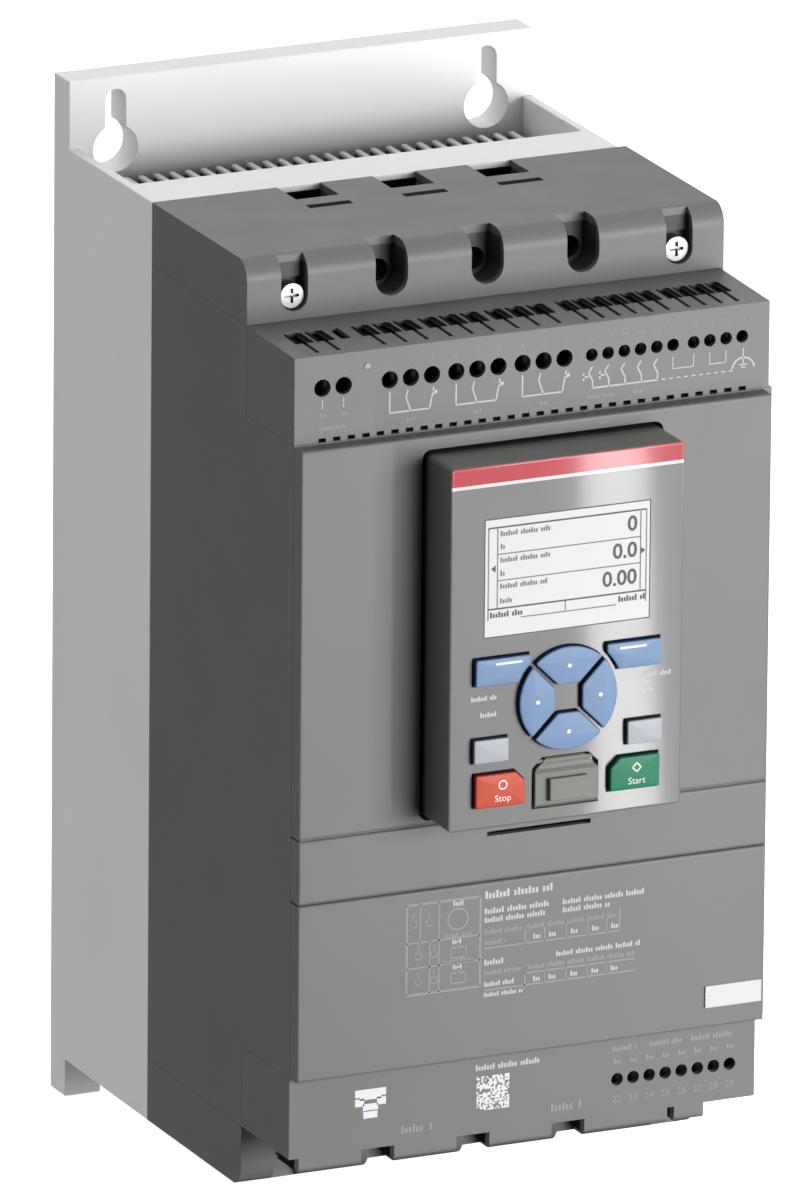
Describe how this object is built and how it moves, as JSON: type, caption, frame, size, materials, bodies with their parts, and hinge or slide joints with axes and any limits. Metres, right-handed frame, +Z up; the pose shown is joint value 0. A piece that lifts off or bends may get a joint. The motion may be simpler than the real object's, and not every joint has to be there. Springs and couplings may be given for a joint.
{
  "type": "soft starter",
  "caption": "Three-phase motor soft starter on a finned heat sink, with power clamps above and below, control terminals, front covers and a pull-off keypad.",
  "frame": {"origin": "centre of the four fixing points, on the rear face of the mounting plate", "axes": "+Z up, front towards -Y, +X to the right as seen from the front"},
  "size_m": [0.1525, 0.1975, 0.314],
  "materials": {
    "aluminium": "extruded, fine satin",
    "sheet_metal": "zinc-plated sheet",
    "fan_plastic": "moulded black",
    "housing_plastic": "fine-textured grey moulding",
    "screw_steel": "zinc-plated",
    "module_plastic": "moulded black",
    "copper": "tinned copper bar",
    "coil_plastic": "moulded blue",
    "circuit_board": "solder-masked laminate",
    "terminal_plastic": "moulded black",
    "lamp_lens": "clear light guide",
    "tag_white": "blank white tag",
    "keypad_face": "printed overlay",
    "keypad_back": "moulded dark grey",
    "display": "display window",
    "key_blue": "moulded light blue key",
    "key_white": "moulded pale key",
    "key_red": "moulded red key",
    "key_green": "moulded green key",
    "port_rubber": "soft grey flap",
    "mat_rubber": "silicone mat"
  },
  "bodies": {
    "chassis": {"heat_sink": "aluminium", "fan_plate": "sheet_metal", "fan_frame_left": "fan_plastic", "fan_frame_right": "fan_plastic", "main_housing": "housing_plastic", "line_terminal_cover": "housing_plastic", "load_terminal_cover": "housing_plastic", "cover_screws": "screw_steel", "control_cover_top": "housing_plastic", "control_cover_bottom": "housing_plastic", "upper_front_cover": "housing_plastic", "middle_front_cover": "housing_plastic", "lower_front_cover": "housing_plastic", "marker_tag": "tag_white", "thyristor_module_1": "module_plastic", "thyristor_module_2": "module_plastic", "thyristor_module_3": "module_plastic", "module_screws": "screw_steel", "bypass_contactor": "module_plastic", "line_busbars": "copper", "load_busbars": "copper", "current_transformers": "coil_plastic", "line_clamps": "screw_steel", "load_clamps": "screw_steel", "line_clamp_screws": "screw_steel", "load_clamp_screws": "screw_steel", "insulating_sheets": "mat_rubber", "control_board": "circuit_board", "supply_terminal_block": "terminal_plastic", "relay_terminal_blocks": "terminal_plastic", "input_terminal_blocks": "terminal_plastic", "lower_terminal_block": "terminal_plastic", "control_terminal_screws": "screw_steel", "status_led": "lamp_lens", "keypad_socket": "terminal_plastic"},
    "keypad": {"keypad_front_shell": "keypad_face", "keypad_back_shell": "keypad_back", "display_window": "display", "display_panel": "display", "keypad_board": "circuit_board", "key_mat": "mat_rubber", "usb_socket": "screw_steel"},
    "soft_key_left": {"soft_key_left": "key_blue"},
    "soft_key_right": {"soft_key_right": "key_blue"},
    "up_key": {"up_key": "key_blue"},
    "down_key": {"down_key": "key_blue"},
    "left_key": {"left_key": "key_blue"},
    "right_key": {"right_key": "key_blue"},
    "local_key": {"local_key": "key_white"},
    "info_key": {"info_key": "key_white"},
    "stop_key": {"stop_key": "key_red"},
    "start_key": {"start_key": "key_green"},
    "usb_flap": {"usb_flap": "port_rubber"},
    "fan_rotor_left": {"fan_rotor_left": "fan_plastic"},
    "fan_rotor_right": {"fan_rotor_right": "fan_plastic"}
  },
  "joints": [
    {"name": "keypad_pull", "type": "slide", "parent": "chassis", "child": "keypad", "axis": [0, -1, 0], "range_m": [0, 0.03]},
    {"name": "soft_key_left_press", "type": "slide", "parent": "keypad", "child": "soft_key_left", "axis": [0, 1, 0], "range_m": [0, 0.0012], "stiffness_N_per_m": 1000},
    {"name": "soft_key_right_press", "type": "slide", "parent": "keypad", "child": "soft_key_right", "axis": [0, 1, 0], "range_m": [0, 0.0012], "stiffness_N_per_m": 1000},
    {"name": "up_key_press", "type": "slide", "parent": "keypad", "child": "up_key", "axis": [0, 1, 0], "range_m": [0, 0.0012], "stiffness_N_per_m": 1000},
    {"name": "down_key_press", "type": "slide", "parent": "keypad", "child": "down_key", "axis": [0, 1, 0], "range_m": [0, 0.0012], "stiffness_N_per_m": 1000},
    {"name": "left_key_press", "type": "slide", "parent": "keypad", "child": "left_key", "axis": [0, 1, 0], "range_m": [0, 0.0012], "stiffness_N_per_m": 1000},
    {"name": "right_key_press", "type": "slide", "parent": "keypad", "child": "right_key", "axis": [0, 1, 0], "range_m": [0, 0.0012], "stiffness_N_per_m": 1000},
    {"name": "local_key_press", "type": "slide", "parent": "keypad", "child": "local_key", "axis": [0, 1, 0], "range_m": [0, 0.0012], "stiffness_N_per_m": 1000},
    {"name": "info_key_press", "type": "slide", "parent": "keypad", "child": "info_key", "axis": [0, 1, 0], "range_m": [0, 0.0012], "stiffness_N_per_m": 1000},
    {"name": "stop_key_press", "type": "slide", "parent": "keypad", "child": "stop_key", "axis": [0, 1, 0], "range_m": [0, 0.0012], "stiffness_N_per_m": 1000},
    {"name": "start_key_press", "type": "slide", "parent": "keypad", "child": "start_key", "axis": [0, 1, 0], "range_m": [0, 0.0012], "stiffness_N_per_m": 1000},
    {"name": "usb_flap_hinge", "type": "hinge", "parent": "keypad", "child": "usb_flap", "pos_m": [0.0018, -0.1938, -0.0072], "axis": [-1, 0, 0], "range_deg": [0, 80]},
    {"name": "fan_left_spin", "type": "hinge", "parent": "chassis", "child": "fan_rotor_left", "pos_m": [-0.036, -0.03125, -0.1392], "axis": [0, 0, 1], "continuous": true},
    {"name": "fan_right_spin", "type": "hinge", "parent": "chassis", "child": "fan_rotor_right", "pos_m": [0.036, -0.03125, -0.1392], "axis": [0, 0, 1], "continuous": true}
  ]
}
